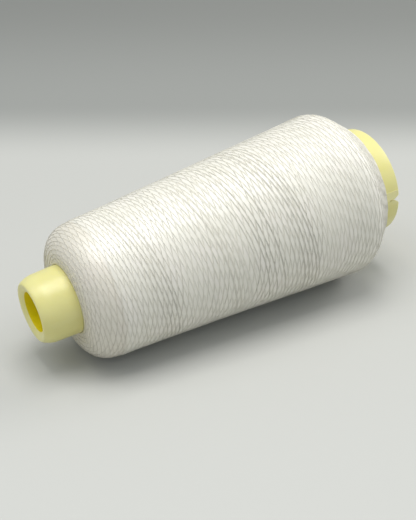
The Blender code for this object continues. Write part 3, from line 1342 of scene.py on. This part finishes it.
@dataclass(frozen=True)
class StrayStrands:
    """Short lengths that lie over the passes in shallow S-bends, with their ends a little up."""

    seed: int = 41
    strands: int = 54
    steps_in_strand: int = 30
    shortest: float = 7.0 * MM
    longest: float = 22.0 * MM
    first_station: float = 29.0 * MM
    last_station: float = 120.0 * MM
    slant: float = 0.34
    bend: float = 4.5 * MM
    thread_radius: float = ThreadPasses.thread_radius
    middle_height: float = 0.030 * MM
    end_rise: float = 0.12 * MM
    mean_radius: float = 28.0 * MM
    reach: float = ThreadPasses.reach

    def strands_tree(self, axis: ConeAxis, finish: bpy.types.Material) -> LaidThread:
        """Build the tree that lays the strands.

        Args:
            axis: Where the cone lies.
            finish: The strands' material.

        Returns:
            The tree, ready to run.
        """
        laid = LaidThread("stray_strands", named_inputs(self, axis, finish))
        wiring = laid.wiring
        steps = laid.value("Steps in strand")
        which, step = laid.thread_and_step(steps)
        along = wiring.maths("DIVIDE", step, wiring.maths("SUBTRACT", steps, 1.0))
        from_middle = wiring.maths("SUBTRACT", along, 0.5)
        length = laid.chance(laid.value("Shortest"), laid.value("Longest"), which, 1)
        round_way = wiring.maths("MULTIPLY", length, from_middle)
        turned = wiring.maths("DIVIDE", round_way, laid.value("Mean radius"))
        angle = wiring.maths("ADD", laid.chance(0.0, math.tau, which, 2), turned)
        slant = wiring.maths("MULTIPLY", laid.value("Slant"), laid.chance(-1.0, 0.3, which, 4))
        start = laid.chance(laid.value("First station"), laid.value("Last station"), which, 5)
        straight = wiring.maths("MULTIPLY_ADD", round_way, slant, start)
        eased = wiring.remap(along, (0.0, 1.0), (0.0, 1.0), smooth=True)
        curl = wiring.maths("MULTIPLY", laid.value("Bend"), laid.chance(-1.0, 1.0, which, 6))
        station = wiring.maths("MULTIPLY_ADD", wiring.maths("SUBTRACT", eased, along), curl, straight)
        off_middle = wiring.maths("ABSOLUTE", wiring.maths("MULTIPLY", from_middle, 2.0))
        ends = wiring.maths("POWER", off_middle, 6.0)
        lift = wiring.maths("MULTIPLY_ADD", ends, laid.value("End rise"),
                            laid.value("Middle height"))
        place = laid.on_surface(station, 0.0, angle, lift)
        laid.string(wiring.maths("MULTIPLY", laid.value("Strands"), steps), place, steps, 5)
        return laid

    def build(self, axis: ConeAxis, surface: bpy.types.Mesh, finish: bpy.types.Material
              ) -> bpy.types.Object:
        """Lay the strands and dress them.

        Args:
            axis: Where the cone lies.
            surface: The wound body's mesh.
            finish: The strands' material.

        Returns:
            The finished piece.
        """
        mesh = self.strands_tree(axis, finish).lay(surface)
        return finished("stray_strands", mesh, [finish], Node.THREAD, Slot.THREAD)


# ---- studio --------------------------------------------------------------------------------------


@dataclass(frozen=True)
class SoftLight:
    """One studio softbox."""

    name: str
    place: Place
    power: float
    aim: Place = (0.0, 0.0, 0.02)
    side: float = 0.55
    colour: Colour = (1.0, 0.988, 0.970)

    def build(self) -> bpy.types.Object:
        """Add the light and return it."""
        lamp = bpy.data.lights.new(self.name, "AREA")
        lamp.shape = "SQUARE"
        lamp.size = self.side
        lamp.energy = self.power
        lamp.color = self.colour
        light = bpy.data.objects.new(self.name, lamp)
        light.location = self.place
        facing = Vector(self.aim) - Vector(self.place)
        light.rotation_euler = facing.to_track_quat("-Z", "Y").to_euler()
        bpy.context.scene.collection.objects.link(light)
        return light


@dataclass(frozen=True)
class Studio:
    """The floor, the lights and the camera."""

    floor_half: float = 3.0
    camera_place: Place = (-0.16906, -0.26723, 0.21978)
    camera_azimuth: float = -32.08
    camera_elevation: float = 32.34
    lens: float = 69.23
    sky: Colour = (0.90, 0.97, 1.04)
    sky_strength: float = 0.48
    lights: tuple[SoftLight, ...] = (
        SoftLight("overhead_softbox", (0.0, 0.0, 1.05), 6.7),
        SoftLight("right_softbox", (0.85, -0.10, 0.62), 3.7),
        SoftLight("left_softbox", (-0.50, 0.20, 0.90), 2.2),
    )

    def facing(self) -> Vector:
        """Return the level unit vector that the camera looks along."""
        turn = math.radians(self.camera_azimuth)
        return Vector((-math.sin(turn), math.cos(turn), 0.0))

    def build(self, finish: FloorFinish) -> None:
        """Set up the floor, the lights and the camera.

        Args:
            finish: The floor's paper.
        """
        half = self.floor_half
        mesh = bpy.data.meshes.new("studio_floor")
        mesh.from_pydata([(-half, -half, 0), (half, -half, 0), (half, half, 0), (-half, half, 0)], [],
                         [(0, 1, 2, 3)])
        mesh.materials.append(finish.make(self.facing()))
        floor = bpy.data.objects.new("studio_floor", mesh)
        bpy.context.scene.collection.objects.link(floor)
        for light in self.lights:
            light.build()
        world = bpy.data.worlds.new("studio")
        world.use_nodes = True
        background = world.node_tree.nodes["Background"]
        background.inputs["Color"].default_value = (*self.sky, 1.0)
        background.inputs["Strength"].default_value = self.sky_strength
        scene = bpy.context.scene
        scene.world = world
        scene.view_settings.view_transform = "Standard"
        lens = bpy.data.cameras.new("camera")
        lens.lens = self.lens
        camera = bpy.data.objects.new("camera", lens)
        camera.location = self.camera_place
        camera.rotation_euler = (math.radians(90.0 - self.camera_elevation), 0.0,
                                 math.radians(self.camera_azimuth))
        scene.collection.objects.link(camera)
        scene.camera = camera
        log.info("studio: %d lights", len(self.lights))


def main() -> None:
    """Build every piece of the cone of thread and the studio round it."""
    logging.basicConfig(level=logging.INFO, format="%(name)s: %(message)s")
    tube = MouldedTube()
    axis = ConeAxis.from_record(frame["record"], tube.length)
    # painted bounced light: a richer, more saturated yellow for the bore and the hollow, where light
    # bounces round inside
    bore_painted_bounce = TubePlasticFinish("yellow_plastic_painted_bounce", colour=(0.95, 0.80, 0.006),
                               deep=(0.90, 0.73, 0.004), worn=(0.93, 0.79, 0.040))
    tube.build(axis, TubePlasticFinish(), bore_painted_bounce)
    shoulder = ShoulderPaintedShade(axis)
    wound = WoundThread(tube).build(axis, ThreadFinish().make(shoulder))
    strand = StrandFinish().make(shoulder)
    for passes in (ThreadPasses("passes_under", Lay.RIGHT, 11, 14, 0.071 * MM),
                   ThreadPasses("passes_over", Lay.LEFT, 23, 17, 0.065 * MM),
                   ThreadPasses("passes_top", Lay.LEFT, 37, 17, 0.065 * MM)):
        passes.build(axis, wound.data, strand)
    StrayStrands().build(axis, wound.data, strand)
    Studio().build(FloorFinish())


if __name__ == "__main__":
    main()
